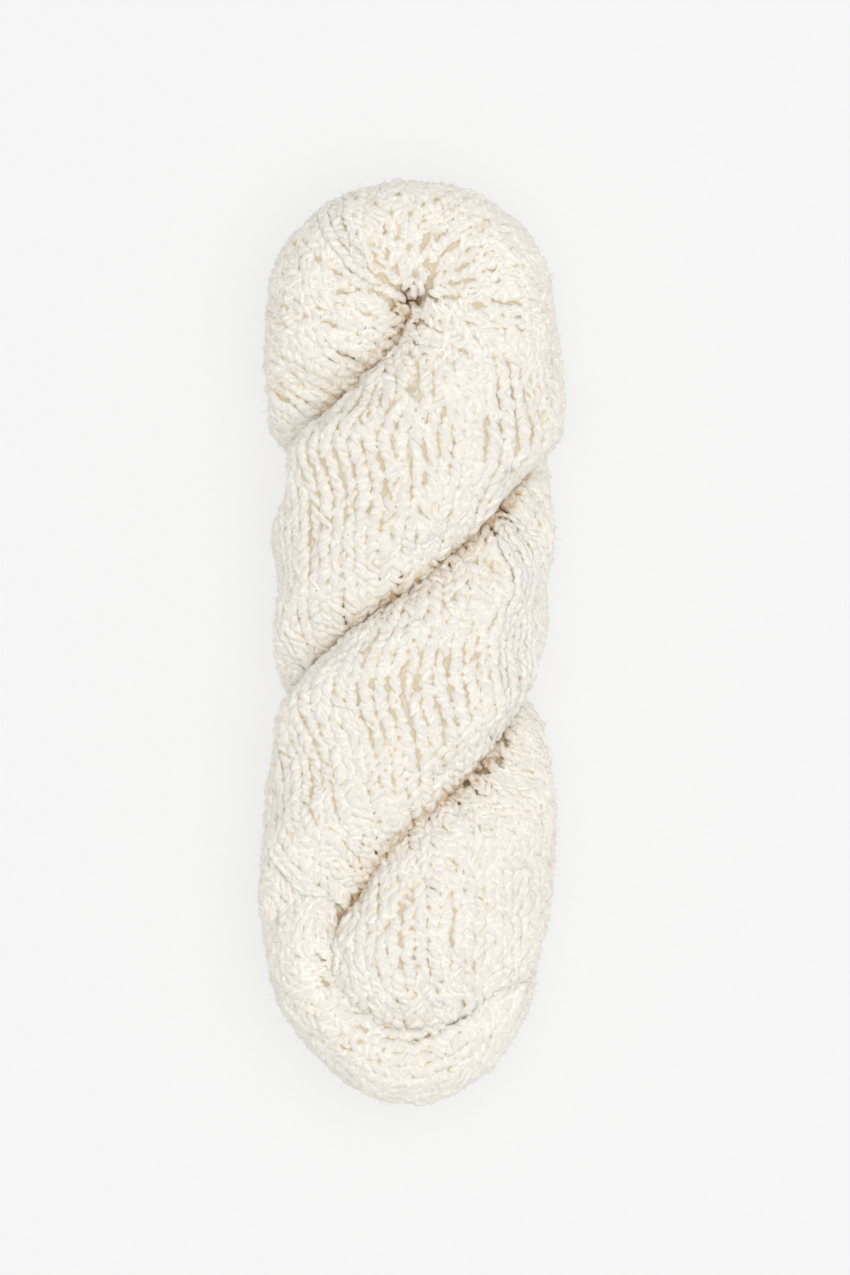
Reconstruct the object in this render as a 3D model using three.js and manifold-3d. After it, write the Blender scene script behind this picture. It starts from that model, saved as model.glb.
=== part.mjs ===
// A twisted hank of cream boucle knitting yarn, lying flat on a table.
//
// The yarn is wound in a long loop, the loop is twisted, folded in half and
// let spin round itself, and one end is tucked through the other. That leaves
// two thick strands laid round each other like a rope, a rounded head where
// the yarn turns over from one strand to the other, and an end loop that goes
// round the tucked end. The single turns of yarn are too fine for a solid, so
// this is the wound form with its main twists, creases and flat underside.
//
// Millimetres. +Y runs to the head, +X across, +Z up from the table.

import * as THREE from 'three';
import * as BufferGeometryUtils from 'three/addons/utils/BufferGeometryUtils.js';
import Module from 'manifold-3d';

const wasm = await Module();
wasm.setup();

// The rope lies with its axis at this height, a little lower where the strands
// lie side by side. Its own weight presses it to this share of its round
// height, and the table cuts it off flat at z = 0.
const AXIS_HEIGHT = 31.3;
const SIDE_BY_SIDE_SINKS = 3.6;
const PRESSED = 0.76;

// The rope along its length: how far its middle stands off the line, its
// radius, the direction of the seam between the two strands (degrees round
// the length, 90 is straight up) and how broad a strand is along that seam,
// as a share of the radius.
const ROPE = [
  { y:  104.5, x: -0.6, radius: 41.3, turn:  86, broad: 0.86 },
  { y:   98.7, x: -0.3, radius: 41.9, turn:  89, broad: 0.86 },
  { y:   85.5, x:  0.3, radius: 42.5, turn: 101, broad: 0.86 },
  { y:   70.9, x:  2.0, radius: 40.6, turn: 135, broad: 0.86 },
  { y:   57.7, x:  2.0, radius: 41.3, turn: 172, broad: 0.93 },
  { y:   43.0, x:  1.2, radius: 38.4, turn: 206, broad: 0.85 },
  { y:   28.4, x: -0.3, radius: 38.9, turn: 240, broad: 0.86 },
  { y:   15.2, x:  0.3, radius: 38.9, turn: 272, broad: 0.84 },
  { y:   -2.3, x: -0.3, radius: 37.5, turn: 324, broad: 0.85 },
  { y:  -17.0, x: -1.5, radius: 38.1, turn: 363, broad: 0.91 },
  { y:  -34.6, x: -0.9, radius: 39.0, turn: 404, broad: 0.83 },
  { y:  -54.2, x: -0.6, radius: 42.5, turn: 449, broad: 0.84 },
  { y:  -75.5, x: -1.5, radius: 40.8, turn: 480, broad: 0.84 },
  { y:  -93.1, x: -3.2, radius: 39.8, turn: 500, broad: 0.84 },
  { y: -113.6, x: -1.8, radius: 36.6, turn: 520, broad: 0.84 },
  { y: -129.7, x: -0.9, radius: 32.2, turn: 535, broad: 0.84 },
];

// A strand's section, as shares of the rope's radius: a rounded D whose flat
// side presses on the other strand. The upper strand is a little the thicker,
// because the seam sags below the axis.
const SECTION = { centre: 0.44, outward: 0.56, inward: 0.50, roundOut: 2.3, roundIn: 2.6 };
const SEAM_SAG = 0.16;
const SAG_RUNS_IN = 17.5;

// The head: where the strands start to turn over, and how tall the turn is
// against its radius.
const HEAD = { y: 98.7, tall: 0.86 };

// How each strand closes at the other end: where it starts to round off, its
// tip, and how far the tip is drawn aside and down.
const ENDS = [
  { side: 1, close: -72.6, tip: -110.5, aside: 6.5, down: 7.9 },
  { side: -1, close: -84.3, tip: -125.3, aside: 3.5, down: 21.0 },
];

// The end loop, once round: the middle of the band, its half width in plan
// and its half height.
const LOOP = [
  { x: -31.0, y:  -82.9, z: 29.0, wide: 11.7, tall: 20.0 },
  { x: -25.6, y: -103.9, z: 31.5, wide: 12.5, tall: 19.5 },
  { x:  -6.6, y: -120.6, z: 33.0, wide: 13.2, tall: 18.5 },
  { x:  11.2, y: -118.6, z: 32.0, wide: 12.7, tall: 17.5 },
  { x:  26.6, y: -101.9, z: 28.0, wide:  9.1, tall: 16.0 },
  { x:  23.7, y:  -85.8, z: 13.0, wide:  8.2, tall: 12.0 },
  { x:  -0.3, y:  -79.9, z: 11.0, wide:  8.8, tall: 12.0 },
  { x: -22.3, y:  -72.6, z: 15.0, wide: 10.0, tall: 13.0 },
];
const LOOP_MIDDLE = { x: -0.9, y: -100.4 };

// The bulk of the tucked end, which fills the loop from behind.
const TUCKED = { x: -1.0, y: -98.0, z: 19.0, across: 27.0, along: 25.0, up: 20.0 };

// How finely each shape is divided.
const FINE = { around: 40, along: 36, closing: 6, head: 18, loopAlong: 40, loopAround: 20 };

const CREAM = 0xe9e3d3;

// A smooth reading of one column of the rope's table at y.
function ropeAt(y, column) {
  const rows = ROPE;
  let i = 0;
  while (i < rows.length - 2 && y < rows[i + 1].y) i += 1;
  const slope = (k) => (rows[k + 1][column] - rows[k][column]) / (rows[k + 1].y - rows[k].y);
  const tangent = (k) => {
    if (k === 0) return slope(0);
    if (k === rows.length - 1) return slope(k - 1);
    const before = rows[k - 1].y - rows[k].y;
    const after = rows[k].y - rows[k + 1].y;
    return (slope(k - 1) * after + slope(k) * before) / (before + after);
  };
  const from = rows[i];
  const to = rows[i + 1];
  const span = to.y - from.y;
  const t = THREE.MathUtils.clamp((y - from.y) / span, 0, 1);
  return from[column] * (1 + 2 * t) * (1 - t) ** 2
    + to[column] * t * t * (3 - 2 * t)
    + tangent(i) * span * t * (1 - t) ** 2
    + tangent(i + 1) * span * t * t * (t - 1);
}

// A point of the section at an angle round it, and how far the strand's own
// middle stands from the rope's axis. shift moves the seam.
function sectionAt(angle, broad, shift) {
  const c = Math.cos(angle);
  const s = Math.sin(angle);
  const round = c > 0 ? SECTION.roundOut : SECTION.roundIn;
  const reach = (c > 0 ? SECTION.outward : SECTION.inward) - 0.5 * shift;
  return {
    centre: SECTION.centre + 0.5 * shift,
    out: reach * Math.sign(c) * Math.abs(c) ** (2 / round),
    along: broad * Math.sign(s) * Math.abs(s) ** (2 / round),
  };
}

// The height of the round form once it is pressed by its own weight.
function pressed(z, seam) {
  return AXIS_HEIGHT - SIDE_BY_SIDE_SINKS * Math.sin(seam) ** 2 + PRESSED * z;
}

// A point on one strand's surface; fill is 0 at the section's middle.
function strandPoint(end, y, angle, fill) {
  const seam = THREE.MathUtils.degToRad(ropeAt(y, 'turn'));
  const outward = seam + end.side * Math.PI / 2;
  const radius = ropeAt(y, 'radius');
  const runIn = THREE.MathUtils.clamp((HEAD.y - y) / SAG_RUNS_IN, 0, 1);
  const shift = -SEAM_SAG * Math.sin(outward) * runIn;
  const section = sectionAt(angle, ropeAt(y, 'broad'), shift);
  const t = THREE.MathUtils.clamp((y - end.close) / (end.tip - end.close), 0, 1);
  const size = fill * Math.sqrt(1 - t * t);
  const u = section.centre * (1 - 0.25 * t * t) + section.out * size;
  const w = section.along * size;
  const x = ropeAt(y, 'x') + end.aside * t * t
    + radius * (u * Math.cos(outward) + w * Math.cos(seam));
  const z = radius * (u * Math.sin(outward) + w * Math.sin(seam));
  return [x, y, pressed(z, seam) - end.down * t * t * PRESSED];
}

// A point on the head, part of the way (0 to 1) over from one strand to the other.
function headPoint(over, angle, fill) {
  const seam = THREE.MathUtils.degToRad(ropeAt(HEAD.y, 'turn'));
  const outward = seam + Math.PI / 2;
  const radius = ropeAt(HEAD.y, 'radius');
  const section = sectionAt(angle, ropeAt(HEAD.y, 'broad'), 0);
  const u = Math.max(section.centre + section.out * fill, 0);
  const w = section.along * fill;
  const swing = Math.PI * (1 - over);
  const x = ropeAt(HEAD.y, 'x')
    + radius * (u * Math.cos(swing) * Math.cos(outward) + w * Math.cos(seam));
  const z = radius * (u * Math.cos(swing) * Math.sin(outward) + w * Math.sin(seam));
  return [x, HEAD.y + radius * HEAD.tall * u * Math.sin(swing), pressed(z, seam)];
}

// A smooth reading of the loop's table, once round for turns 0 to 1.
function loopAt(turns, column) {
  const n = LOOP.length;
  const place = (((turns % 1) + 1) % 1) * n;
  const i = Math.floor(place);
  const f = place - i;
  const [a, b, c, d] = [-1, 0, 1, 2].map((k) => LOOP[(i + k + n) % n][column]);
  return 0.5 * (2 * b + (c - a) * f + (2 * a - 5 * b + 4 * c - d) * f ** 2
    + (3 * b - a - 3 * c + d) * f ** 3);
}

// A point on the end loop's surface.
function loopPoint(turns, angle) {
  const read = (t) => new THREE.Vector3(loopAt(t, 'x'), loopAt(t, 'y'), loopAt(t, 'z'));
  const middle = read(turns);
  const ahead = read(turns + 0.001).sub(read(turns - 0.001)).normalize();
  const out = new THREE.Vector3(middle.x - LOOP_MIDDLE.x, middle.y - LOOP_MIDDLE.y, 0);
  out.addScaledVector(ahead, -out.dot(ahead)).normalize();
  const up = new THREE.Vector3().crossVectors(out, ahead);
  if (up.z < 0) up.negate();
  return middle
    .addScaledVector(out, loopAt(turns, 'wide') * Math.cos(angle))
    .addScaledVector(up, loopAt(turns, 'tall') * Math.sin(angle))
    .toArray();
}

// Moves every vertex of a geometry to where place puts it.
function shaped(geometry, place) {
  const position = geometry.attributes.position;
  for (let i = 0; i < position.count; i += 1) {
    position.setXYZ(i, ...place(position.getX(i), position.getY(i), position.getZ(i), i));
  }
  return geometry;
}

// A cylinder as high as it has rows, bent into shape by place(row, angle, fill).
function tube(rows, place) {
  const cylinder = new THREE.CylinderGeometry(1, 1, rows, FINE.around, rows, false);
  return shaped(cylinder, (x, y, z) => {
    const row = Math.round(rows / 2 - y);
    return place(row, Math.atan2(x, z), Math.hypot(x, z) > 0.5 ? 1 : 0);
  });
}

// A strand's rows: even down the rope, then closer together as its end rounds
// off. The angle runs the way round that folds each square of the grid along
// the twist and not across it.
function strandGeometry(end) {
  const rows = FINE.along + FINE.closing;
  return tube(rows, (row, angle, fill) => {
    const along = Math.min(row / FINE.along, 1);
    const closing = Math.max(row - FINE.along, 0) / FINE.closing;
    const y = HEAD.y + (end.close - HEAD.y) * along
      + (end.tip - end.close) * Math.sin(closing * Math.PI * 0.47);
    return strandPoint(end, y, -end.side * angle, fill);
  });
}

function headGeometry() {
  return tube(FINE.head, (row, angle, fill) => headPoint(row / FINE.head, angle, fill));
}

function loopGeometry() {
  const torus = new THREE.TorusGeometry(2, 1, FINE.loopAround, FINE.loopAlong);
  const uv = torus.attributes.uv;
  return shaped(torus, (x, y, z, i) => loopPoint(uv.getX(i), uv.getY(i) * 2 * Math.PI));
}

function tuckedGeometry() {
  const ball = new THREE.SphereGeometry(1, 24, 14);
  ball.scale(TUCKED.across, TUCKED.along, TUCKED.up);
  ball.translate(TUCKED.x, TUCKED.y, TUCKED.z);
  return ball;
}

// The half space above the table.
function aboveTable() {
  const box = new THREE.BoxGeometry(400, 400, 200);
  box.translate(0, 0, 100);
  return box;
}

// A geometry as a solid: position only, shared vertices merged, collapsed
// triangles dropped, and turned right side out.
function solid(geometry) {
  const bare = geometry.clone();
  bare.deleteAttribute('normal');
  bare.deleteAttribute('uv');
  const merged = BufferGeometryUtils.mergeVertices(bare, 1e-4);
  const position = merged.attributes.position;
  const index = Array.from(merged.index.array);
  const corner = (i) => new THREE.Vector3().fromBufferAttribute(position, i);
  const kept = [];
  let volume = 0;
  for (let i = 0; i < index.length; i += 3) {
    const [a, b, c] = index.slice(i, i + 3);
    if (a !== b && b !== c && c !== a) {
      kept.push([a, b, c]);
      volume += corner(a).dot(corner(b).cross(corner(c)));
    }
  }
  const facing = volume > 0 ? kept : kept.map(([a, b, c]) => [a, c, b]);
  return new wasm.Manifold(new wasm.Mesh({
    numProp: 3,
    vertProperties: new Float32Array(position.array),
    triVerts: new Uint32Array(facing.flat()),
  }));
}

function geometryOf(manifold) {
  const mesh = manifold.getMesh();
  const geometry = new THREE.BufferGeometry();
  geometry.setAttribute('position', new THREE.BufferAttribute(mesh.vertProperties, 3));
  geometry.setIndex(new THREE.BufferAttribute(mesh.triVerts, 1));
  geometry.computeVertexNormals();
  return geometry;
}

const joined = solid(headGeometry())
  .add(solid(strandGeometry(ENDS[0])))
  .add(solid(strandGeometry(ENDS[1])))
  .add(solid(loopGeometry()))
  .add(solid(tuckedGeometry()));
const lying = joined.intersect(solid(aboveTable()));

const hankGeometry = geometryOf(lying);
hankGeometry.computeBoundingBox();
const middle = hankGeometry.boundingBox.getCenter(new THREE.Vector3());
hankGeometry.translate(-middle.x, -middle.y, 0);

const hank = new THREE.Mesh(
  hankGeometry,
  new THREE.MeshStandardMaterial({ color: CREAM, roughness: 0.95, metalness: 0.0 }),
);
hank.name = 'hank';

const group = new THREE.Group();
group.add(hank);

export default group;
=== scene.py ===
# %% [markdown]
# A twisted hank of cream boucle knitting yarn
#
# A hank is one long loop of yarn. It is twisted, folded in half, let spin round itself like a
# rope, and one end is tucked through the other. What the eye sees is two thick strands with deep
# creases between them, a rounded head where the yarn turns over, and an end loop. Every strand is
# itself a bundle of knobbly turns of yarn that run nearly along the hank.
#
# This scene dresses the plain solid of that form. It lays each visible turn of yarn on the form
# as a wavy tube, adds the fine loose fibres, gives them an undyed wool finish, and lights them.

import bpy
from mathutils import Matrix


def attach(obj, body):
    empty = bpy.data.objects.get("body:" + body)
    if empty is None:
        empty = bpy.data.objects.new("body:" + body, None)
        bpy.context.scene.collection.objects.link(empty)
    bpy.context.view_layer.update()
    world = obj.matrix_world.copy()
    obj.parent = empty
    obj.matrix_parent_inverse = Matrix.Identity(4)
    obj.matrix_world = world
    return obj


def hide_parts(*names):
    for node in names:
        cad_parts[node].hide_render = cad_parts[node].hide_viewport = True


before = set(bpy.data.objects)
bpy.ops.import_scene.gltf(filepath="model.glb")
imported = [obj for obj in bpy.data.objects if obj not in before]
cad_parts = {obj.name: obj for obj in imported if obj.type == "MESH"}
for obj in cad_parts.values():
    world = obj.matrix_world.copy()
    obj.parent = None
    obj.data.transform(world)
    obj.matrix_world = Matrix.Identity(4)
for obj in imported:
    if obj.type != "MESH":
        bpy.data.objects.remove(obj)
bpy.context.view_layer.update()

import bmesh
import bpy
import numpy as np
from mathutils import Vector, noise
from mathutils.bvhtree import BVHTree
from mathutils.kdtree import KDTree

MM = 0.001
SEED = 20
dice = np.random.default_rng(SEED)


def in_scene(name, data):
    """A new object for the data, linked to the scene."""
    made = bpy.data.objects.new(name, data)
    bpy.context.scene.collection.objects.link(made)
    return made


def smoothstep(low, high, x):
    t = np.clip((x - low) / (high - low), 0, 1)
    return t * t * (3 - 2 * t)


def unit(vectors):
    return vectors / np.maximum(np.linalg.norm(vectors, axis=-1, keepdims=True), 1e-9)


print("seed", SEED, "numpy", np.__version__)

# %% [markdown]
# The form comes first, because every turn of yarn follows it. These are the same sizes as the
# solid's, in millimetres: the rope along its length, the D of a strand's section, the head and
# the end loop. Working the yarn's path out from them, and not from the solid's facets, keeps
# each turn smooth.

# %% Sizes of the form
AXIS_HEIGHT = 31.3
SIDE_BY_SIDE_SINKS = 3.6
PRESSED = 0.76


def table(names, rows):
    """Rows of numbers whose columns are read by name."""
    return np.array(rows, dtype=[(name, float) for name in names.split()])


ROPE = table("y x radius turn broad", [
    (104.5, -0.6, 41.3, 86, 0.86),
    (98.7, -0.3, 41.9, 89, 0.86),
    (85.5, 0.3, 42.5, 101, 0.86),
    (70.9, 2.0, 40.6, 135, 0.86),
    (57.7, 2.0, 41.3, 172, 0.93),
    (43.0, 1.2, 38.4, 206, 0.85),
    (28.4, -0.3, 38.9, 240, 0.86),
    (15.2, 0.3, 38.9, 272, 0.84),
    (-2.3, -0.3, 37.5, 324, 0.85),
    (-17.0, -1.5, 38.1, 363, 0.91),
    (-34.6, -0.9, 39.0, 404, 0.83),
    (-54.2, -0.6, 42.5, 449, 0.84),
    (-75.5, -1.5, 40.8, 480, 0.84),
    (-93.1, -3.2, 39.8, 500, 0.84),
    (-113.6, -1.8, 36.6, 520, 0.84),
    (-129.7, -0.9, 32.2, 535, 0.84),
])
CENTRE, OUTWARD, INWARD, ROUND_OUT, ROUND_IN = 0.44, 0.56, 0.50, 2.3, 2.6
SEAM_SAG = 0.16
SAG_RUNS_IN = 17.5
HEAD_Y = 98.7
HEAD_TALL = 0.86
ENDS = {
    1: dict(close=-72.6, tip=-110.5, aside=6.5, down=7.9),
    -1: dict(close=-84.3, tip=-125.3, aside=3.5, down=21.0),
}
LOOP = table("x y z wide tall", [
    (-31.0, -82.9, 29.0, 11.7, 20.0),
    (-25.6, -103.9, 31.5, 12.5, 19.5),
    (-6.6, -120.6, 33.0, 13.2, 18.5),
    (11.2, -118.6, 32.0, 12.7, 17.5),
    (26.6, -101.9, 28.0, 9.1, 16.0),
    (23.7, -85.8, 13.0, 8.2, 12.0),
    (-0.3, -79.9, 11.0, 8.8, 12.0),
    (-22.3, -72.6, 15.0, 10.0, 13.0),
])
LOOP_MIDDLE = (-0.9, -100.4)
print("rope places", len(ROPE), "end loop places", len(LOOP), "head at y", HEAD_Y)

# %% Readings of the rope's table


def rope_at(y, column):
    """A smooth reading of one column of the rope's table."""
    along, values, x = -ROPE["y"], ROPE[column], -np.asarray(y, float)
    step = np.diff(along)
    slope = np.diff(values) / step
    tangent = np.empty_like(values)
    tangent[0], tangent[-1] = slope[0], slope[-1]
    tangent[1:-1] = (slope[:-1] * step[1:] + slope[1:] * step[:-1]) / (step[:-1] + step[1:])
    i = np.clip(np.searchsorted(along, x, side="right") - 1, 0, len(step) - 1)
    t = np.clip((x - along[i]) / step[i], 0, 1)
    return (values[i] * (1 + 2 * t) * (1 - t) ** 2 + values[i + 1] * t * t * (3 - 2 * t)
            + tangent[i] * step[i] * t * (1 - t) ** 2 + tangent[i + 1] * step[i] * t * t * (t - 1))


print("radius half way down", rope_at(0, "radius").round(1))

# %% Points of the strands and the head


def section_at(angle, broad, shift):
    """A point of the D of a section, from the strand's own middle."""
    c, s = np.cos(angle), np.sin(angle)
    power = np.where(c > 0, ROUND_OUT, ROUND_IN)
    reach = np.where(c > 0, OUTWARD, INWARD) - 0.5 * shift
    out = reach * np.sign(c) * np.abs(c) ** (2 / power)
    along = broad * np.sign(s) * np.abs(s) ** (2 / power)
    return out, along


def height(z, seam):
    """Height over the table of a point z above the rope's axis, pressed and sunk by its weight."""
    return AXIS_HEIGHT - SIDE_BY_SIDE_SINKS * np.sin(seam) ** 2 + PRESSED * z


def strand_point(side, y, angle):
    """Points round one strand's section at y; side is 1 or -1 for the two strands."""
    end = ENDS[side]
    seam = np.radians(rope_at(y, "turn"))
    outward = seam + side * np.pi / 2
    radius = rope_at(y, "radius")
    shift = -SEAM_SAG * np.sin(outward) * np.clip((HEAD_Y - y) / SAG_RUNS_IN, 0, 1)
    out, along = section_at(angle, rope_at(y, "broad"), shift)
    t = np.clip((y - end["close"]) / (end["tip"] - end["close"]), 0, 1)
    size = np.sqrt(1 - t * t)
    u = (CENTRE + 0.5 * shift) * (1 - 0.25 * t * t) + out * size
    w = along * size
    x = rope_at(y, "x") + end["aside"] * t * t + radius * (u * np.cos(outward) + w * np.cos(seam))
    z = radius * (u * np.sin(outward) + w * np.sin(seam))
    z = height(z, seam) - end["down"] * t * t * PRESSED
    return np.stack([x, np.broadcast_to(y, x.shape), z], -1)


def head_point(over, angle):
    """over runs from 0 at the first strand to 1 at the second."""
    seam = np.radians(rope_at(HEAD_Y, "turn"))
    outward = seam + np.pi / 2
    radius = rope_at(HEAD_Y, "radius")
    out, along = section_at(angle, rope_at(HEAD_Y, "broad"), 0.0)
    u = np.maximum(CENTRE + out, 0)
    swing = np.pi * over
    x = rope_at(HEAD_Y, "x") + radius * (u * np.cos(swing) * np.cos(outward) + along * np.cos(seam))
    z = radius * (u * np.cos(swing) * np.sin(outward) + along * np.sin(seam))
    y = HEAD_Y + radius * HEAD_TALL * u * np.sin(swing)
    return np.stack([x, y, height(z, seam)], -1)


print("top of the head", head_point(0.5, np.zeros(1)).round(1))

# %% Points of the end loop


def loop_at(turns, column):
    """A smooth reading of one column of the end loop's table, once round for 0 to 1."""
    values, n = LOOP[column], len(LOOP)
    place = (turns % 1) * n
    i = int(place)
    f = place - i
    a, b, c, d = (values[(i + k) % n] for k in (-1, 0, 1, 2))
    return 0.5 * (2 * b + (c - a) * f + (2 * a - 5 * b + 4 * c - d) * f ** 2
                  + (3 * b - a - 3 * c + d) * f ** 3)


def loop_point(turns, angle):
    """Points round the end loop's section, turns being how far round the loop it lies."""
    def read(t):
        return np.array([loop_at(t, "x"), loop_at(t, "y"), loop_at(t, "z")])
    middle = read(turns)
    ahead = read(turns + 0.001) - read(turns - 0.001)
    ahead /= np.linalg.norm(ahead)
    out = np.array([middle[0] - LOOP_MIDDLE[0], middle[1] - LOOP_MIDDLE[1], 0.0])
    out -= out.dot(ahead) * ahead
    out /= np.linalg.norm(out)
    up = np.cross(out, ahead)
    up *= np.sign(up[2])
    wide = loop_at(turns, "wide") * np.cos(angle)
    tall = loop_at(turns, "tall") * np.sin(angle)
    return middle + wide[:, None] * out + tall[:, None] * up


print("first place of the loop", loop_point(0.0, np.zeros(1)).round(1))

# %% [markdown]
# Under the turns of a real hank lie more turns, of the same wool in shade. What shows of them is a
# ground in the gaps, whose shade is painted in as tan. They could be laid as yarn too, for several
# times the triangles, or left out, and then light would pass right through the gaps. Here a copy of
# the solid, drawn in a little, closes the hank.
#
# The solid also tells two things that the yarn and its painted shade need: how deep inside it a
# point lies, and how much of the sky it sees, which is little in the creases.

# %% A copy of the solid


def merged_copy(node):
    """The node's mesh as a bmesh, with its loose triangles joined."""
    shape = bmesh.new()
    shape.from_mesh(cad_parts[node].data)
    bmesh.ops.remove_doubles(shape, verts=shape.verts, dist=1e-6)
    return shape


solid = merged_copy("hank")
outside = BVHTree.FromBMesh(solid)
bmesh.ops.recalc_face_normals(solid, faces=solid.faces)
solid.normal_update()
print("solid", len(solid.verts), "points", len(solid.faces), "faces")

# %% How open each place is
OPEN_RAYS = 48
OPEN_REACH = 40
RAY_START = 0.4


def openness():
    """How much of the sky each point of the solid sees, 0 to 1, without what lies far off."""
    rays = dice.normal(0, 1, (OPEN_RAYS, 3))
    rays /= np.linalg.norm(rays, axis=1, keepdims=True)
    seen = np.empty(len(solid.verts))
    for number, vert in enumerate(solid.verts):
        free = 0
        start = vert.co + vert.normal * RAY_START * MM
        for ray in rays:
            way = Vector(ray if vert.normal.dot(Vector(ray)) > 0 else -ray)
            free += outside.ray_cast(start, way, OPEN_REACH * MM)[0] is None
        seen[number] = free / OPEN_RAYS
    return seen


seen_sky = openness()
face_sky = np.array([seen_sky[[vert.index for vert in face.verts]].mean() for face in solid.faces])
print("open sky", np.percentile(face_sky, (1, 10, 50, 90)).round(2))


def sky_at(points):
    """The open sky at points in millimetres, read off the nearest face."""
    return np.array([face_sky[outside.find_nearest(Vector(point) * MM)[2]] for point in points])


# %% The body under the yarn
UNDER = 1.3
UNDER_LOWEST = 0.6


def note(mesh, name, values):
    """Keeps a number for each point of the mesh, for the finish to read."""
    mesh.attributes.new(name, "FLOAT", "POINT").data.foreach_set("value", values)


def new_piece(name, mesh):
    """A piece of the hank, which rides with it and stands for its solid."""
    piece = in_scene(name, mesh)
    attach(piece, "root")
    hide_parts("hank")
    return piece


for vert in solid.verts:
    vert.co -= vert.normal * UNDER * MM
    vert.co.z = max(vert.co.z, UNDER_LOWEST * MM)
under_mesh = bpy.data.meshes.new("under_body")
solid.to_mesh(under_mesh)
solid.free()
for face in under_mesh.polygons:
    face.use_smooth = True
note(under_mesh, "sky", seen_sky)
under = new_piece("under_body", under_mesh)
print(under.name, len(under_mesh.polygons), "faces")

# %% [markdown]
# Each turn of yarn is a line on the form. In the section of a strand it holds a place round the
# outline, and that place moves on down the strand, because the strand is twisted against the lay
# of the rope. How fast it moves is read off the way the yarn runs in the real hank: fast round
# the head, where the yarns fan out of the pit, and slower down the rope, where they run straight.

# %% The rope as rows of outlines
TWIST = {
    1: [(98.7, 0.020), (75, 0.018), (55, 0.012), (20, 0.010), (-20, 0.011), (-110, 0.011)],
    -1: [(98.7, 0.014), (80, 0.011), (50, 0.0095), (0, 0.0095), (-25, 0.013), (-50, 0.013),
         (-75, 0.006), (-125, 0.003)],
}
HEAD_TWIST = 2.0
ANGLES = np.linspace(-np.pi, np.pi, 361)
STRAND_ROWS = 420
HEAD_ROWS = 200


def twisted(side, ys):
    """How far round its outline a turn has moved at each y, from the head down."""
    rows = TWIST[side]
    fine = np.linspace(HEAD_Y, -130, 2000)
    rate = np.interp(-fine, [-row[0] for row in rows], [row[1] for row in rows])
    total = np.concatenate([[0], np.cumsum((rate[1:] + rate[:-1]) / 2 * -np.diff(fine))])
    return HEAD_TWIST / 2 + np.interp(-ys, -fine, total)


down = {side: np.linspace(HEAD_Y, ENDS[side]["tip"] + 0.5, STRAND_ROWS) for side in (1, -1)}
over = np.linspace(1, 0, HEAD_ROWS)[1:-1]
rope_points = np.concatenate([
    np.stack([strand_point(-1, y, ANGLES) for y in down[-1]])[::-1],
    np.stack([head_point(o, ANGLES) for o in over]),
    np.stack([strand_point(1, y, ANGLES) for y in down[1]]),
])
rope_twist = np.concatenate([
    -twisted(-1, down[-1])[::-1],
    HEAD_TWIST / 2 * (1 - 2 * over),
    twisted(1, down[1]),
])
print("rope", rope_points.shape)

# %% A sheet of lines
FRONT = len(ANGLES) // 2


def surface_of(points):
    """Outward normals of a sheet of outlines, and the place round each from 0 to 1."""
    sweep = np.gradient(points, axis=0)
    round_it = np.gradient(points, axis=1)
    normal = np.cross(sweep, round_it)
    size = np.linalg.norm(normal, axis=-1, keepdims=True)
    away = points - points.mean(axis=1, keepdims=True)
    away_size = np.linalg.norm(away, axis=-1, keepdims=True)
    normal = np.where(size > 1e-6, normal / np.maximum(size, 1e-9), away / np.maximum(away_size, 1e-9))
    normal *= np.sign((normal * away).sum(-1, keepdims=True) + 1e-9)
    steps = np.linalg.norm(np.diff(points, axis=1), axis=2)
    place = np.concatenate([np.zeros((len(points), 1)), np.cumsum(steps, 1)], 1)
    length = np.maximum(place[:, -1:], 1e-6)
    place = (place - place[:, FRONT:FRONT + 1]) / length
    return normal, place


class Sheet:
    """A form's skin as many close lines that run the way its yarn runs."""

    def __init__(self, points, twist, count):
        normal, place = surface_of(points)
        even = np.arange(count)[:, None] / count + twist[None]
        wanted = (even - place[:, 0]) % 1.0 + place[:, 0]
        self.line = np.empty((count, len(points), 3))
        self.out = np.empty_like(self.line)
        for row in range(len(points)):
            for axis in range(3):
                self.line[:, row, axis] = np.interp(wanted[:, row], place[row], points[row, :, axis])
                self.out[:, row, axis] = np.interp(wanted[:, row], place[row], normal[row, :, axis])
        self.out = unit(self.out)
        self.rows = len(points)
        self.cloud = KDTree(count * self.rows)
        for index, point in enumerate(self.line.reshape(-1, 3)):
            self.cloud.insert(point, index)
        self.cloud.balance()


rope_sheet = Sheet(rope_points, rope_twist, 420)
print("rope lines", len(rope_sheet.line), "rows", rope_sheet.rows)

# %% The end loop's lines
LOOP_START = -0.19
LOOP_ROWS = 340
LOOP_TWIST = table("turns rate", [
    (-0.19, 0.8), (0.0, 1.1), (0.10, 0.9), (0.20, 0.4), (0.27, 0.1), (0.40, -0.1),
    (0.50, -0.2), (0.81, -0.2),
])
loop_turns = np.linspace(LOOP_START, LOOP_START + 1, LOOP_ROWS)
loop_points = np.stack([loop_point(t, ANGLES) for t in loop_turns])
loop_rate = np.interp(loop_turns, LOOP_TWIST["turns"], LOOP_TWIST["rate"])
loop_sheet = Sheet(loop_points, np.cumsum(loop_rate) / LOOP_ROWS * 2.0, 240)
print("loop lines", len(loop_sheet.line), "rows", loop_sheet.rows)

# %% [markdown]
# Underneath, the tucked end fills the loop from behind, and there the solid swells past both
# forms. Rays from inside that end find its skin, and its lines run from them towards the tip.

# %% The tucked end's lines
TUCK_MIDDLE = (0, -98, 18)
TUCK_ROWS = 80
TUCK_FROM, TUCK_TO = np.radians((120, 8))


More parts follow.
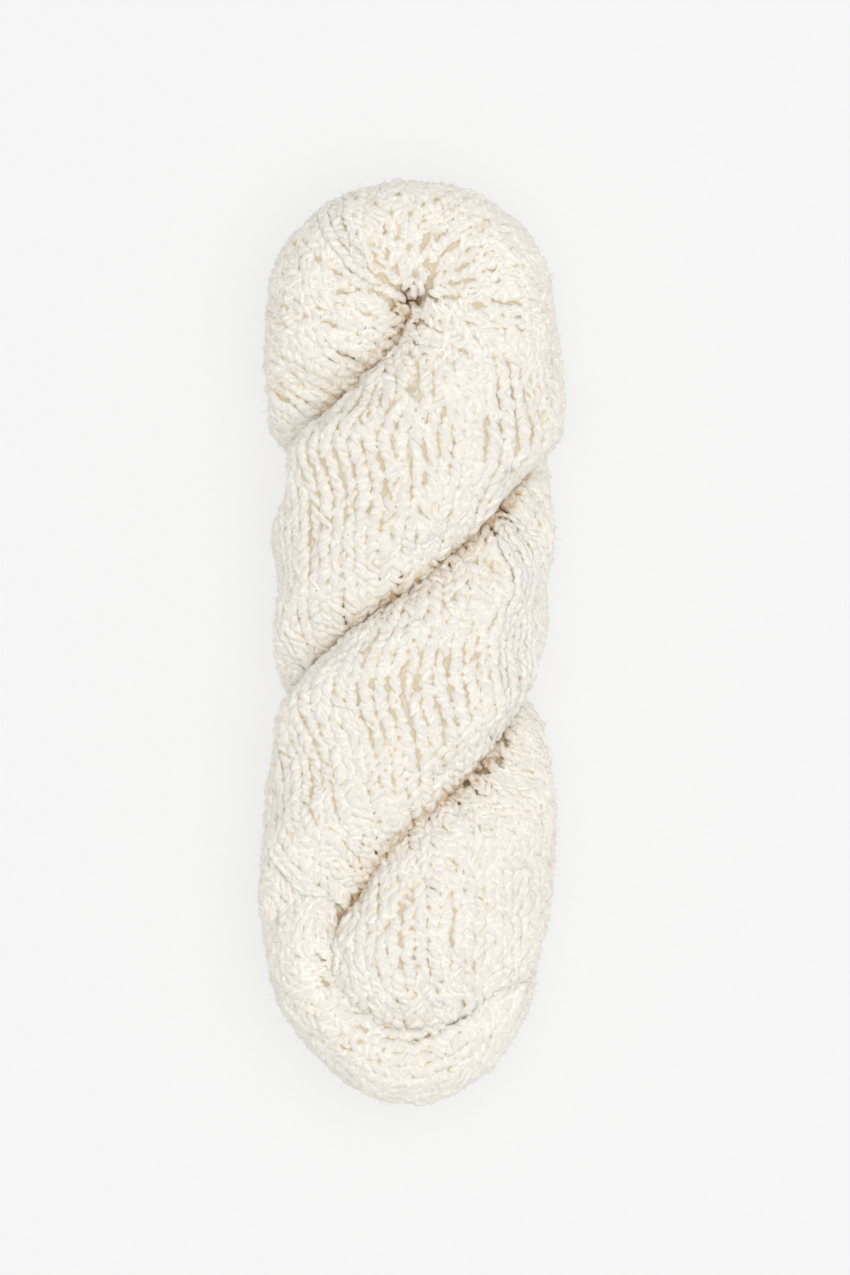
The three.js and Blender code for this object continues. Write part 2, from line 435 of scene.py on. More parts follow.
def tucked_point(turn, angle):
    """Where a ray from inside the tucked end leaves the solid, its turn counted from the tip."""
    ray = (np.sin(turn) * np.cos(angle), -np.cos(turn), np.sin(turn) * np.sin(angle))
    return outside.ray_cast(Vector(TUCK_MIDDLE) * MM, Vector(ray))[0] / MM


tuck_points = np.array([[tucked_point(turn, angle) for angle in ANGLES]
                        for turn in np.linspace(TUCK_FROM, TUCK_TO, TUCK_ROWS)])
tuck_sheet = Sheet(tuck_points, np.zeros(TUCK_ROWS), 240)
print("tucked lines", len(tuck_sheet.line), "rows", tuck_sheet.rows)

# %% [markdown]
# Yarn is as thick at one place as at another, so turns that fan apart let others come up between
# them, and turns that crowd push some under. Lines at equal angles round the form would bunch up
# and thin out instead. So the lines are picked as the yarn does it: the first is laid, and each
# next one starts a yarn's width beside one already laid and runs on, both ways, until it comes
# too close to another or goes deep inside the hank.

# %% What lies already
SPACING = 2.75
SAME_PLACE_ROWS = 100
FARTHEST_OUT = 3


def depth_of(point):
    """How far inside the solid a point lies, in millimetres; no yarn is laid far outside it."""
    spot, normal, _, far = outside.find_nearest(Vector(point) * MM)
    inside = (Vector(point) * MM - spot).dot(normal) < 0 or far > FARTHEST_OUT * MM
    return far / MM if inside else -far / MM


def ways(points, out):
    """Ahead along a line, and across it within the skin."""
    ahead = unit(np.gradient(points, axis=0))
    return ahead, unit(np.cross(ahead, out))


class Laid:
    """The points of yarn that lie already, found by the cell they are in."""

    def __init__(self):
        self.cells = {}

    def cell(self, point):
        return tuple(int(c // SPACING) for c in point)

    def add(self, point, row, owner):
        self.cells.setdefault(self.cell(point), []).append((*point, row, owner))

    def add_line(self, sheet, which, rows, lines):
        """Lays one line of the sheet as the last of the lines."""
        for row in rows:
            self.add(sheet.line[which, row], row, len(lines))
        lines.append([sheet.line[which, rows], sheet.out[which, rows], rows])

    def near(self, point, row, owner, reach, any_row=False):
        x, y, z = point
        i, j, k = self.cell(point)
        for a in (i - 1, i, i + 1):
            for b in (j - 1, j, j + 1):
                for c in (k - 1, k, k + 1):
                    for px, py, pz, other_row, other in self.cells.get((a, b, c), ()):
                        if other == owner:
                            continue
                        if abs(other_row - row) > SAME_PLACE_ROWS and not any_row:
                            continue
                        if (px - x) ** 2 + (py - y) ** 2 + (pz - z) ** 2 < reach * reach:
                            return True
        return False


print("cells are", SPACING, "mm wide")

# %% One turn grows
STEP = 0.75
JUMP = 4
HIDDEN = 2.8


def grown(sheet, laid, index, owner, closest, any_row=False):
    """The rows of one line, both ways from a start, as far as it shows and has room."""
    which, start = divmod(index, sheet.rows)
    line = sheet.line[which]
    found = [start]
    for way in (1, -1):
        row = last = start
        while 0 <= row + way < sheet.rows:
            row += way
            point = line[row]
            gone = np.sum((point - line[last]) ** 2)
            if gone < STEP * STEP:
                continue
            if gone > JUMP * JUMP:
                break
            if depth_of(point) > HIDDEN or laid.near(point, row, owner, closest, any_row):
                break
            found.append(row)
            last = row
    return which, np.array(sorted(found))


print("a point about every", STEP, "mm")


# %% Turns a yarn apart
CLOSEST = 0.66 * SPACING
START_ROOM = 0.93 * SPACING
OFF_THE_SHEET = 1.2
LOOK_EVERY = 3
SHORTEST = 7


def starts_beside(sheet, laid, line):
    """Places where another turn could start, on both sides of one that lies."""
    points, out, rows = line
    across = ways(points, out)[1]
    starts = []
    for k in range(0, len(rows), LOOK_EVERY):
        for side in (1, -1):
            place, index, far = sheet.cloud.find(points[k] + side * SPACING * across[k])
            row = index % sheet.rows
            if far > OFF_THE_SHEET or abs(row - rows[k]) > SAME_PLACE_ROWS or depth_of(place) > HIDDEN:
                continue
            if not laid.near(place, row, -1, START_ROOM):
                starts.append(index)
    return starts


def evenly_spaced(sheet, first):
    """Lays turns a yarn apart, each beside one that lies already."""
    laid, lines, queue = Laid(), [], [first]
    while queue:
        begin = queue.pop(0)
        if laid.near(sheet.line[divmod(begin, sheet.rows)], begin % sheet.rows, -1, START_ROOM):
            continue
        which, rows = grown(sheet, laid, begin, len(lines), CLOSEST)
        if len(rows) < SHORTEST:
            continue
        laid.add_line(sheet, which, rows, lines)
        queue += starts_beside(sheet, laid, lines[-1])
    return lines


print("room kept", round(CLOSEST, 2), "mm, room to start", round(START_ROOM, 2), "mm")

# %% [markdown]
# Laid like that, the turns leave gaps of uneven width, and some holes where a turn ended early.
# Each turn is pulled to the middle of its gap a few times over, and then more turns go into the
# holes. The room that a turn has in the end also says how thick its yarn spreads.

# %% Gaps shared
WIDEST_GAP = 1.2 * SPACING
NARROWEST_GAP = 0.6
LOOK_ROUND = 2 * SPACING
EASED_OVER = 9
ROOM_OVER = 7


def running_mean(values, size):
    """Each value's mean with its neighbours along the line."""
    size = min(size, len(values) // 2 * 2 - 1)
    padded = np.pad(values, size // 2, mode="edge")
    return np.convolve(padded, np.ones(size) / size, mode="valid")


def settled(lines):
    """Shares the gaps on the two sides of every turn, and gives the room each one has."""
    owners = np.concatenate([np.full(len(line[0]), k) for k, line in enumerate(lines)])
    rows = np.concatenate([line[2] for line in lines])
    tree = KDTree(len(owners))
    for index, point in enumerate(np.concatenate([line[0] for line in lines])):
        tree.insert(point, index)
    tree.balance()
    done = []
    for owner, (points, out, own_rows) in enumerate(lines):
        ahead, across = ways(points, out)
        gaps = np.full((len(points), 2), WIDEST_GAP)
        for k, point in enumerate(points):
            for place, index, _ in tree.find_range(point, LOOK_ROUND):
                if owners[index] == owner or abs(rows[index] - own_rows[k]) > SAME_PLACE_ROWS:
                    continue
                offset = np.array(place) - point
                if abs(offset.dot(ahead[k])) > STEP:
                    continue
                side = offset.dot(across[k])
                right = int(side > 0)
                gaps[k, right] = min(gaps[k, right], max(abs(side), NARROWEST_GAP))
        move = running_mean((gaps[:, 1] - gaps[:, 0]) / 3, EASED_OVER)
        room = running_mean(gaps.mean(1), ROOM_OVER)
        done.append([points + across * move[:, None], out, own_rows, room])
    return done


def settled_over(lines, times):
    for _ in range(times):
        lines = settled([line[:3] for line in lines])
    return lines


print("gaps from", NARROWEST_GAP, "to", round(WIDEST_GAP, 2), "mm")

# %% Holes filled
HOLE = 2.4
HOLE_DEEP = 2.4
FILL_SHORTEST = 4
FILL_CLOSEST = 1.6


def filled(sheet, lines):
    """Lays more turns where there is still a hole."""
    laid = Laid()
    lines = [list(line[:3]) for line in lines]
    for owner, (points, _, rows) in enumerate(lines):
        for point, row in zip(points, rows):
            laid.add(point, row, owner)
    for which in range(0, len(sheet.line), 2):
        for row in range(0, sheet.rows, LOOK_EVERY):
            point = sheet.line[which, row]
            if laid.near(point, row, -1, HOLE, True) or depth_of(point) > HOLE_DEEP:
                continue
            rows = grown(sheet, laid, which * sheet.rows + row, len(lines), FILL_CLOSEST, True)[1]
            if len(rows) >= FILL_SHORTEST:
                laid.add_line(sheet, which, rows, lines)
    return lines


def say(name, lines):
    far = sum(np.linalg.norm(np.diff(line[0], axis=0), axis=1).sum() for line in lines) / 1000
    room = np.concatenate([line[3] for line in lines]).mean()
    print(name, len(lines), "turns", round(float(far), 1), "metres, mean room", round(float(room), 2))


print("no point farther than", HOLE, "mm from a turn")

# %% All the turns
stretches = []
for name, sheet, spot in (("rope", rope_sheet, (0, 30, 60)), ("loop", loop_sheet, (5, -120, 50))):
    lines = evenly_spaced(sheet, sheet.cloud.find(Vector(spot))[1])
    lines = settled_over(lines, 4)
    lines = filled(sheet, lines)
    lines = settled_over(lines, 2)
    stretches += lines
    say(name, lines)
tucked = filled(tuck_sheet, stretches)[len(stretches):]
tucked = settled_over(tucked, 2)
stretches += tucked
say("tucked end", tucked)

# %% [markdown]
# A boucle yarn is two uneven plies, loosely spun: a fuller one that throws itself from side to
# side and a thinner one that ties it down. They swap sides every few millimetres, which gives the
# slanting knobs along each turn and the small gaps between turns, whose shade is painted tan. A
# noise texture on plain tubes could paint such knobs, but their outline would stay smooth. So each
# ply is its own path.
#
# A turn sits half sunk in the skin of the form. It spreads where it has room, dives a little where
# it ends, and swells into the creases, because there it isn't pulled tight.

# %% Noise along a turn
VARIES = {
    "depth": (9.0, 0.25),
    "way": (12.0, 0.25),
    "turn": (4.5, 0.8),
    "hand": (6.0, 1.6),
    "reach": (4.0, 0.22),
    "thick": (2.6, 0.08),
}


def wobble(at, what):
    """Smooth seeded noise along a line: how often it changes in millimetres, and by how much."""
    every, size = VARIES[what]
    knots = np.arange(at[0] - every, at[-1] + 2 * every, every)
    values = dice.normal(0, size, len(knots))
    t = (at - knots[0]) / every
    i = t.astype(int)
    f = t - i
    f = f * f * (3 - 2 * f)
    return values[i] * (1 - f) + values[i + 1] * f


print("what varies", *VARIES)

# %% Two plies of a turn
STEP_ALONG = 0.75
PLIES = table("side thick", [
    (0.70, 1.10),
    (-0.95, 0.90),
])
SWAP = 2.9
RISE = 0.75
FULL_ROOM, THINNEST, FULLEST = 2.45, 0.65, 1.75
SNAKE, SNAKE_EVERY = 0.30, 9.0
YARN_DEPTH = 1.25
END_DIVE, DIVES_OVER, THINS_OVER = 0.5, 2.5, 1.5
PUFF, SHUT, OPEN = 1.7, 0.3, 0.8
ON_TABLE = 0.95


def plied(points, out, room):
    """The two plies of a turn, each as its points and its radius at each."""
    at = np.concatenate([[0], np.cumsum(np.linalg.norm(np.diff(points, axis=0), axis=1))])
    even = np.linspace(0, at[-1], int(at[-1] / STEP_ALONG) + 1)
    points = np.stack([np.interp(even, at, points[:, k]) for k in range(3)], -1)
    out = unit(np.stack([np.interp(even, at, out[:, k]) for k in range(3)], -1))
    full = np.clip(np.interp(even, at, room) / FULL_ROOM, THINNEST, FULLEST)
    across = ways(points, out)[1]
    end = np.minimum(even, even[-1] - even)
    puff = PUFF * (1 - smoothstep(SHUT, OPEN, running_mean(sky_at(points), 5)))
    dive = END_DIVE * (1 - smoothstep(0, DIVES_OVER, end))
    depth = YARN_DEPTH * full + dive + wobble(even, "depth") - puff
    snake = SNAKE * np.sin(2 * np.pi * even / SNAKE_EVERY + dice.uniform(0, 6))
    middle = points + across * (snake + wobble(even, "way"))[:, None] - out * depth[:, None]
    turn = np.pi * even / SWAP + wobble(even, "turn") + dice.uniform(0, 2 * np.pi)
    hand = np.clip(wobble(even, "hand"), -1, 1)
    found = []
    for ply in PLIES:
        reach = ply["side"] * full * (1 + wobble(even, "reach"))
        sideways, rise = reach * np.cos(turn), reach * hand * RISE * np.sin(turn)
        radius = ply["thick"] * full * (1 + wobble(even, "thick"))
        radius = radius * (0.5 + 0.5 * smoothstep(0, THINS_OVER, end))
        path = middle + across * sideways[:, None] + out * rise[:, None]
        path[:, 2] = np.maximum(path[:, 2], radius * ON_TABLE)
        found.append((path, radius))
    return found


boucle = [ply for points, out, _, room in stretches for ply in plied(points, out, room)]
print("plies", len(boucle), "mean radius", np.concatenate([radius for _, radius in boucle]).mean().round(2))

# %% [markdown]
# A curve with a round bevel is Blender's own way to a tube, and it follows a path and a radius
# that change. The tubes are made real, their caps are joined to them so that each is closed, and
# each gets a strip of the bake map of its own. Then a noise pushes the skin in and out, as loose
# loops of ply do. One mesh of all the yarn would be too large to keep, so it is cut into a few.

# %% Groups of plies
TUBE_POINTS = 16500

groups, size = [[]], 0
for stretch in boucle:
    if size + len(stretch[0]) > TUBE_POINTS:
        groups.append([])
        size = 0
    groups[-1].append(stretch)
    size += len(stretch[0])
print("pieces", len(groups))

# %% Tubes
SIDES = 6


def made_real(thing):
    """The mesh that Blender makes of an object, which is then removed."""
    view = bpy.context.evaluated_depsgraph_get()
    mesh = bpy.data.meshes.new_from_object(thing.evaluated_get(view), depsgraph=view)
    bpy.data.objects.remove(thing)
    return mesh


def tubes(name, group):
    """A mesh of closed tubes round the stretches."""
    curve = bpy.data.curves.new(name, "CURVE")
    curve.dimensions = "3D"
    curve.bevel_depth = MM
    curve.bevel_resolution = (SIDES - 4) // 2
    curve.use_fill_caps = True
    curve.twist_mode = "MINIMUM"
    for points, radius in group:
        spline = curve.splines.new("POLY")
        spline.points.add(len(points) - 1)
        places = np.concatenate([points * MM, np.ones((len(points), 1))], 1)
        spline.points.foreach_set("co", places.ravel())
        spline.points.foreach_set("radius", radius)
        spline.use_smooth = True
    mesh = made_real(in_scene(name, curve))
    bpy.data.curves.remove(curve)
    mesh.name = name
    return mesh


def merged(mesh):
    """Joins the caps to their tubes, so that every tube is closed."""
    shape = bmesh.new()
    shape.from_mesh(mesh)
    bmesh.ops.remove_doubles(shape, verts=shape.verts, dist=1e-7)
    print("points", len(shape.verts), "open edges", sum(len(edge.link_faces) != 2 for edge in shape.edges))
    shape.to_mesh(mesh)
    shape.free()


print("sides of a tube", SIDES)

# %% A strip of the map for each ply
CAP_ROOM = 2.5
FIRST_CAP, LAST_CAP = 1.2, 2.8
CAP_LONG, CAP_WIDE = 0.8, 0.4
STRIP_EDGE = 0.06


def set_map(mesh, places):
    """Gives the mesh one bake map, from a place for each corner of its faces."""
    for layer in list(mesh.uv_layers):
        mesh.uv_layers.remove(layer)
    mesh.uv_layers.new(name="OFBake").uv.foreach_set("vector", places.ravel())


def rows_of(lengths):
    """Packs strips into rows as long as the longest: each one's row, and its start along it."""
    taken, found = [], np.zeros((len(lengths), 2), int)
    for number in sorted(range(len(lengths)), key=lambda k: -lengths[k]):
        free = [row for row, used in enumerate(taken) if used + lengths[number] <= max(lengths)]
        row = free[0] if free else len(taken)
        if not free:
            taken.append(0)
        found[number] = row, taken[row]
        taken[row] += lengths[number]
    return found, len(taken)


def strip_map(mesh, group):
    """Every ply gets a strip of the map, its length along it, with its two caps at the ends.

    Blender gives all the caps first, from the last tube to the first, and then the tubes.
    """
    counts = np.array([len(radius) for _, radius in group])
    packed, rows = rows_of(list(counts + int(2 * CAP_ROOM)))
    corner = np.empty(len(mesh.loops), int)
    mesh.loops.foreach_get("vertex_index", corner)
    caps = 2 * SIDES * len(group)
    ring = np.maximum(corner - caps, 0) // SIDES
    which = np.searchsorted(np.cumsum(counts), ring, side="right")
    along = packed[which, 1] + CAP_ROOM + ring - (np.cumsum(counts) - counts)[which]
    turn = (corner - caps) % SIDES
    faces = (corner >= caps).nonzero()[0].reshape(-1, 4)
    last = (turn[faces].max(1) == SIDES - 1) & (turn[faces].min(1) == 0)
    closing = faces[last]
    turn[closing[turn[closing] == 0]] = SIDES
    across = packed[which, 0] + STRIP_EDGE + (1 - 2 * STRIP_EDGE) * turn / SIDES
    cap = corner < caps
    owner = len(group) - 1 - corner[cap] // (2 * SIDES)
    first = corner[cap] // SIDES % 2
    angle = 2 * np.pi * corner[cap] / SIDES
    middle = packed[owner, 1] + np.where(first == 1, FIRST_CAP, LAST_CAP + counts[owner])
    along[cap] = middle + CAP_LONG * np.cos(angle)
    across[cap] = packed[owner, 0] + 0.5 + CAP_WIDE * np.sin(angle)
    set_map(mesh, np.stack([along / (counts.max() + 2 * CAP_ROOM), across / rows], -1))
    print(mesh.name, "strips", len(group), "in rows", rows)


# %% Lumps in the yarn
LUMPS = 0.65
LUMP_SIZE = 1.1


def lumpy(mesh):
    """Pushes the skin in and out, as loose loops of ply do, and notes how deep it lies."""
    places = np.empty(len(mesh.vertices) * 3)
    mesh.vertices.foreach_get("co", places)
    normals = np.empty(len(mesh.vertices) * 3)
    mesh.vertex_normals.foreach_get("vector", normals)
    places, normals = places.reshape(-1, 3), normals.reshape(-1, 3)
    push = np.array([noise.noise(Vector(place) / (LUMP_SIZE * MM)) for place in places])
    places = places + normals * (push * LUMPS * MM)[:, None]
    places[:, 2] = np.maximum(places[:, 2], 0.0)
    mesh.vertices.foreach_set("co", places.ravel())
    # How deep and how open each point is, which the finish turns into painted shade
    note(mesh, "deep", [depth_of(place / MM) for place in places])
    note(mesh, "sky", sky_at(places / MM))
    mesh.update()


def triangles(mesh):
    return sum(len(face.vertices) - 2 for face in mesh.polygons)


turns = []
for number, group in enumerate(groups, 1):
    mesh = tubes(f"yarn_turns_{number}", group)
    strip_map(mesh, group)
    merged(mesh)
    lumpy(mesh)
    turns.append(new_piece(mesh.name, mesh))
    print(mesh.name, "triangles", triangles(mesh))

# %% [markdown]
# The fibres and the finishes are both made of nodes. A small class wraps a socket, so that sums on
# sockets can be written as plain expressions, and one function adds any other node.

# %% Node helpers


def put(tree, slot, value):
    """Links a socket to the slot, or sets the slot to a plain value."""
    if isinstance(value, Sock):
        value = value.socket
    if isinstance(value, bpy.types.NodeSocket):
        tree.links.new(value, slot)
    else:
        slot.default_value = value


def add_node(tree, kind, settings=None, **values):
    """A node of any kind: its settings, then its inputs by name, or by number as in _0."""
    made = tree.nodes.new(kind)
    for name, setting in (settings or {}).items():
        setattr(made, name, setting)
    for name, value in values.items():
        key = int(name[1:]) if name[0] == "_" and name[1:].isdigit() else name.replace("_", " ")
        put(tree, made.inputs[key], value)
    return made


class Sock:
    """A socket that takes part in sums."""

    def __init__(self, tree, socket):
        self.tree, self.socket = tree, socket

    def maths(self, operation, *values):
        made = add_node(self.tree, "ShaderNodeMath", {"operation": operation})
        for slot, value in zip(made.inputs, (self, *values)):
            put(self.tree, slot, value)
        return Sock(self.tree, made.outputs[0])

    def __add__(self, other):
        return self.maths("ADD", other)

    def __mul__(self, other):
        return self.maths("MULTIPLY", other)

    def __rsub__(self, other):
        return self * -1.0 + other

    __radd__ = __add__
    __rmul__ = __mul__


print("sums on sockets:", "+", "*", "and a number -")

# %% [markdown]
# Wool is never bare: fine fibres stand off every turn and blur its edge. Blender's hair would do
# for a picture, but it is no mesh, so it would be lost from the model. One bent, tapering fibre is
# made as a three-sided cone, and Geometry Nodes sets copies of it on points scattered over the
# turns, each turned its own way. The copies are made real, so they are mesh like the rest. More
# of them stand in the creases, where the fibres of two strands meet.

# %% Where fibres start
FIBRES = 42000
IN_CREASES, CREASE_SKY = 2.5, 0.7
OUTWARD_PULL = 0.8
ALONG_PULL = 0.8


def scattered():
    """Where fibres start, which way they point, and how long they are."""
    centres = np.concatenate([points for points, _ in boucle])
    radii = np.concatenate([radius for _, radius in boucle])
    aheads = np.concatenate([unit(np.gradient(points, axis=0)) for points, _ in boucle])
    chance = np.where(sky_at(centres) < CREASE_SKY, IN_CREASES, 1.0)
    pick = dice.choice(len(centres), FIBRES, p=chance / chance.sum())
    aim = unit(dice.normal(0, 1, (FIBRES, 3)))
    away = np.array([outside.find_nearest(Vector(centre) * MM)[1] for centre in centres[pick]])
    aim = unit(aim + OUTWARD_PULL * away + dice.normal(0, ALONG_PULL, (FIBRES, 1)) * aheads[pick])
    start = centres[pick] + aim * radii[pick][:, None] * 0.8
    return start * MM, aim, dice.gamma(6.0, 1 / 6.0, FIBRES)


starts, aims, fibre_sizes = scattered()
fibre_points = bpy.data.meshes.new("loose_fibres")
fibre_points.vertices.add(FIBRES)
fibre_points.vertices.foreach_set("co", starts.ravel())
fibre_points.attributes.new("aim", "FLOAT_VECTOR", "POINT").data.foreach_set("vector", aims.ravel())
note(fibre_points, "size", fibre_sizes)
note(fibre_points, "spin", dice.uniform(0, 2 * np.pi, FIBRES))
print("fibres", FIBRES, "longest", fibre_sizes.max().round(1), "times the usual")

# %% A fibre on every point
FIBRE_LONG = 1.7
FIBRE_THICK = 0.028
FIBRE_BEND = 180.0


def fibre_nodes():
    """Sets a bent fibre on every point of the mesh it is given."""
    tree = bpy.data.node_groups.new("fibres_on_points", "GeometryNodeTree")
    tree.interface.new_socket("Geometry", in_out="INPUT", socket_type="NodeSocketGeometry")
    tree.interface.new_socket("Geometry", in_out="OUTPUT", socket_type="NodeSocketGeometry")

    def add(kind, settings=None, **values):
        return add_node(tree, kind, settings, **values).outputs[0]

    def noted(name, kind="FLOAT"):
        return add("GeometryNodeInputNamedAttribute", {"data_type": kind}, Name=name)

    points = tree.nodes.new("NodeGroupInput").outputs[0]
    cone = add("GeometryNodeMeshCone", {"fill_type": "NGON"}, Vertices=3, Side_Segments=1,
               Radius_Top=0.0, Radius_Bottom=FIBRE_THICK * MM, Depth=FIBRE_LONG * MM)
    axes = add_node(tree, "ShaderNodeSeparateXYZ", _0=add("GeometryNodeInputPosition"))
    up = Sock(tree, axes.outputs[2])
    offset = add("ShaderNodeCombineXYZ", _0=up * up * FIBRE_BEND)
    bent = add("GeometryNodeSetPosition", Geometry=cone, Offset=offset)
    to_aim = add("FunctionNodeAlignRotationToVector", {"axis": "Z"},
                 Vector=noted("aim", "FLOAT_VECTOR"))
    spun = add("FunctionNodeRotateRotation", {"rotation_space": "LOCAL"}, _0=to_aim,
               _1=add("ShaderNodeCombineXYZ", _2=noted("spin")))
    copies = add("GeometryNodeInstanceOnPoints", Points=points, Instance=bent, Rotation=spun,
                 Scale=noted("size"))
    add_node(tree, "NodeGroupOutput", _0=add("GeometryNodeRealizeInstances", _0=copies))
    return tree


fibre_helper = in_scene("fibre_points", fibre_points)
fibre_helper.modifiers.new("fibres", "NODES").node_group = fibre_nodes()
fibre_mesh = made_real(fibre_helper)
for vert in fibre_mesh.vertices:
    vert.co.z = max(vert.co.z, 0.0)
print("faces of a fibre", len(fibre_mesh.polygons) // FIBRES)

# %% A square of the map for each fibre


def square_map(mesh, count):
    """Every fibre gets a square of the map, and every face of it a corner of that square."""
    faces_of_one = len(mesh.polygons) // count
    grid = int(np.ceil(np.sqrt(count)))
    nooks = int(np.ceil(np.sqrt(faces_of_one)))
    places = np.empty((len(mesh.loops), 2))
    for face in mesh.polygons:
        fibre, part = divmod(face.index, faces_of_one)
        corner = np.array([fibre % grid, fibre // grid])
        nook = np.array([part % nooks, part // nooks])
        for k, loop in enumerate(face.loop_indices):
            angle = 2 * np.pi * (k + 0.5) / len(face.loop_indices)
            spread = 0.5 + 0.45 * np.array([np.cos(angle), np.sin(angle)])
            places[loop] = (corner + (nook + spread) / nooks) / grid
    set_map(mesh, places)


square_map(fibre_mesh, FIBRES)
fibres = new_piece("loose_fibres", fibre_mesh)
print(fibres.name, "triangles", triangles(fibre_mesh))

# %% [markdown]
# The wool is undyed and matt. On top it is cream, and light goes a little way into it. Between
# the knobs a tan shade is painted in, and in the creases a browner shade with small brown dots. A
# colour by height alone would draw rings on every turn. So the painted tan shade follows how deep
# a point lies inside the form, the painted brown shade follows how little sky it sees, and a fine
# noise breaks both up.

# %% A material's helper


class Finish:
    """A material, and one method that adds any node to it."""

    def __init__(self, name):
        self.material = bpy.data.materials.new(name)
        self.material.use_nodes = True
        self.tree = self.material.node_tree
        self.shader = self.tree.nodes["Principled BSDF"]

    def node(self, kind, output=0, settings=None, **values):
        made = add_node(self.tree, "ShaderNode" + kind, settings, **values)
        return Sock(self.tree, made.outputs[output])

    def noted(self, name):
        return self.node("Attribute", output=2, settings={"attribute_name": name})

    def grain(self, scale, detail=2.0, rough=0.5):
        return self.node("TexNoise", Vector=self.where, Scale=scale, Detail=detail, Roughness=rough)

    def ranged(self, value, low, high, to_low=0.0, to_high=1.0):
        return self.node("MapRange", Value=value, From_Min=low, From_Max=high, To_Min=to_low,
                         To_Max=to_high)

    def mix(self, share, first, second):
        return self.node("Mix", output=2, settings={"data_type": "RGBA"}, _0=share, _6=first, _7=second)

    def ramp(self, share, *stops):
        made = self.tree.nodes.new("ShaderNodeValToRGB")
        for element, (place, colour) in zip(made.color_ramp.elements, stops):
            element.position = place
            element.color = colour
        put(self.tree, made.inputs[0], share)
        return Sock(self.tree, made.outputs[0])

    @property
    def where(self):
        """Object coordinates."""
        return self.node("TexCoord", output=3)

    def set(self, **values):
        for name, value in values.items():
            put(self.tree, self.shader.inputs[name.replace("_", " ")], value)

    def dress(self, *pieces):
        for piece in pieces:
            piece.data.materials.clear()
            piece.data.materials.append(self.material)
        print(self.material.name, "nodes", len(self.tree.nodes), "pieces", len(pieces))


def rgb(red, green, blue):
    return (red, green, blue, 1.0)


print("materials of the solid", len(bpy.data.materials))

# %% Undyed wool, with shade painted into its colour
CREAM = rgb(0.88, 0.855, 0.79)
PALE = rgb(0.91, 0.89, 0.84)
# Tan and brown are painted shade: the wool is cream all through, and they stand in for the shade between
# its knobs and in the creases
SHADE_TAN = rgb(0.77, 0.65, 0.45)
LIGHT_SHADE_TAN = rgb(0.83, 0.74, 0.57)
CREASE_SHADE_BROWN = rgb(0.60, 0.42, 0.23)

wool = Finish("undyed_wool")
lumps = wool.grain(420.0, 3.0, 0.6)
on_top = wool.ramp(wool.grain(60.0) * 0.6 + lumps * 0.4, (0.32, CREAM), (0.68, PALE))
sky = wool.noted("sky")
# Painted shade in the creases, where little sky is seen: browner there, with brown dots along the slit,
# broken up by noise
closed = 1 - wool.ranged(sky, 0.35, 0.70)
slit_shade = 1 - wool.ranged(sky, 0.37, 0.52)
spots = wool.ranged(lumps, 0.35, 0.65, 0.5, -0.5)
# Painted tan shade where a point lies deep between the knobs, and more of it in the creases
sunk = wool.ranged(wool.noted("deep") + closed * 1.25 + spots * 0.7, 0.60, 1.60)
shade_dots = (spots + 0.45).maths("MAXIMUM", 0.15)
# How much painted shade each point gets
painted_shade_share = (sunk + closed * 0.1 + slit_shade * shade_dots).maths("MINIMUM", 1.0)
fine = wool.grain(1500.0, 2.0, 0.6)
skin = wool.node("Bump", Strength=0.8, Distance=0.0008, Height=lumps * 0.6 + fine * 0.4)
wool.set(Base_Color=wool.mix(painted_shade_share, on_top, wool.mix(closed, SHADE_TAN, CREASE_SHADE_BROWN)), Normal=skin, Roughness=0.95,
         Specular_IOR_Level=0.05, Sheen_Weight=0.12, Sheen_Roughness=0.6)
wool.shader.subsurface_method = "BURLEY"
wool.set(Subsurface_Weight=0.8, Subsurface_Scale=0.0015, Subsurface_Radius=(1.0, 0.85, 0.7))
wool.dress(*turns, fibres)

# %% Wool that lies deep, its colour painted shade
deep = Finish("deep_wool_painted_shade")
deep_lumps = deep.grain(300.0, 3.0, 0.6)
# The deep wool's tan is painted shade, and it turns browner where it sees little sky
deep_open_shade = deep.ramp(deep_lumps, (0.3, SHADE_TAN), (0.7, LIGHT_SHADE_TAN))
deep_crease_shade = deep.ranged(deep.noted("sky"), 0.50, 0.20, 0.0, 0.4)
deep.set(Base_Color=deep.mix(deep_crease_shade, deep_open_shade, CREASE_SHADE_BROWN), Roughness=1.0,
         Normal=deep.node("Bump", Strength=0.8, Distance=0.001, Height=deep_lumps))
deep.dress(under)

# %% [markdown]
# The hank lies on white paper that is lit so evenly that it is nearly white in the picture, and
# its shadow is faint. A floor that is only lit would need so much light that the cream would burn
# out, so the paper is a mid grey that glows a little. One wide soft light hangs overhead, a little
# to the right, with a white surround, and the camera looks straight down.

# %% Floor
FLOOR_HALF = 3.0
PAPER_GLOW = 0.62

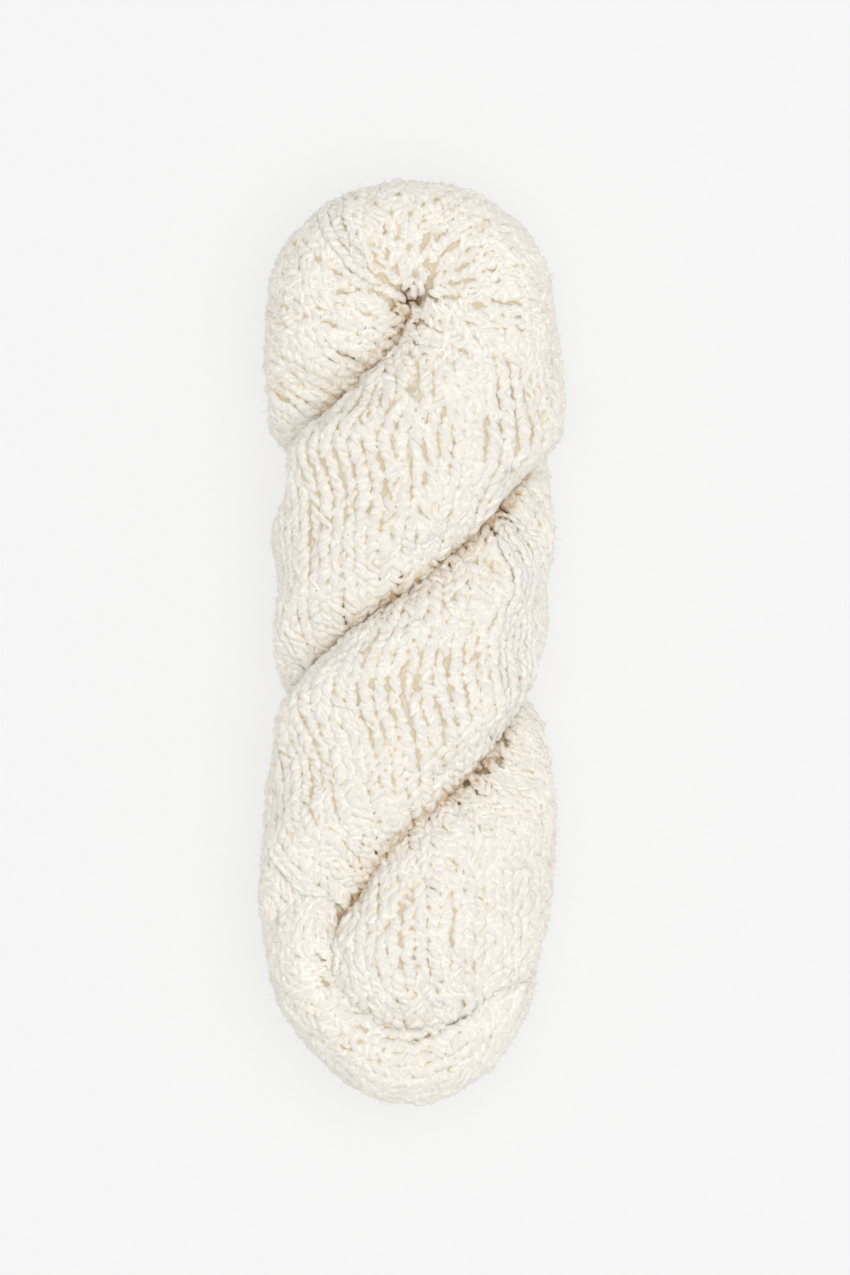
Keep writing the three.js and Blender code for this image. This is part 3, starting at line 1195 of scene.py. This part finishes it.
shape = bmesh.new()
bmesh.ops.create_grid(shape, x_segments=1, y_segments=1, size=FLOOR_HALF)
floor_mesh = bpy.data.meshes.new("floor")
shape.to_mesh(floor_mesh)
shape.free()
floor = in_scene("floor", floor_mesh)
paper = Finish("white_paper")
paper_tone = paper.ramp(paper.grain(900.0), (0.0, rgb(0.30, 0.30, 0.30)), (1.0, rgb(0.33, 0.33, 0.33)))
paper.set(Base_Color=paper_tone, Roughness=1.0, Specular_IOR_Level=0.0,
          Emission_Color=rgb(1.0, 1.0, 1.0), Emission_Strength=PAPER_GLOW)
paper.dress(floor)

# %% Light
LIGHT_AT, LIGHT_AIM = Vector((0.28, -0.05, 2.4)), Vector((0, 0, 0.02))
LIGHT_WIDE, LIGHT_WATTS = 2.4, 26.0
SURROUND = 0.60

lamp = bpy.data.lights.new("overhead", "AREA")
lamp.shape = "DISK"
lamp.size = LIGHT_WIDE
lamp.energy = LIGHT_WATTS
light = in_scene("overhead", lamp)
light.location = LIGHT_AT
light.rotation_euler = (LIGHT_AIM - LIGHT_AT).to_track_quat("-Z", "Y").to_euler()
world = bpy.data.worlds.new("surround")
bpy.context.scene.world = world
world.use_nodes = True
sky_light = world.node_tree.nodes["Background"]
sky_light.inputs["Color"].default_value = rgb(1.0, 1.0, 1.0)
sky_light.inputs["Strength"].default_value = SURROUND
print("light", LIGHT_WATTS, "W", LIGHT_WIDE, "m wide, surround", SURROUND)

# %% Camera
PIXEL = 0.2928 * MM
FRAME_WIDE, FRAME_HIGH = 850, 1275
HANK_MIDDLE_PIXEL = (411.5, 641.5)
CAMERA_HEIGHT = 1.9
HANK_HALF_HEIGHT = 0.03

lens = bpy.data.cameras.new("camera")
lens.sensor_fit = "VERTICAL"
lens.sensor_height = 36.0
lens.lens = lens.sensor_height * (CAMERA_HEIGHT - HANK_HALF_HEIGHT) / (FRAME_HIGH * PIXEL)
lens.clip_end = 20
camera = in_scene("camera", lens)
camera.location = (
    (FRAME_WIDE / 2 - HANK_MIDDLE_PIXEL[0]) * PIXEL,
    (HANK_MIDDLE_PIXEL[1] - FRAME_HIGH / 2) * PIXEL,
    CAMERA_HEIGHT,
)
bpy.context.scene.camera = camera
bpy.context.scene.view_settings.view_transform = "Standard"
print("lens", round(lens.lens), "mm")
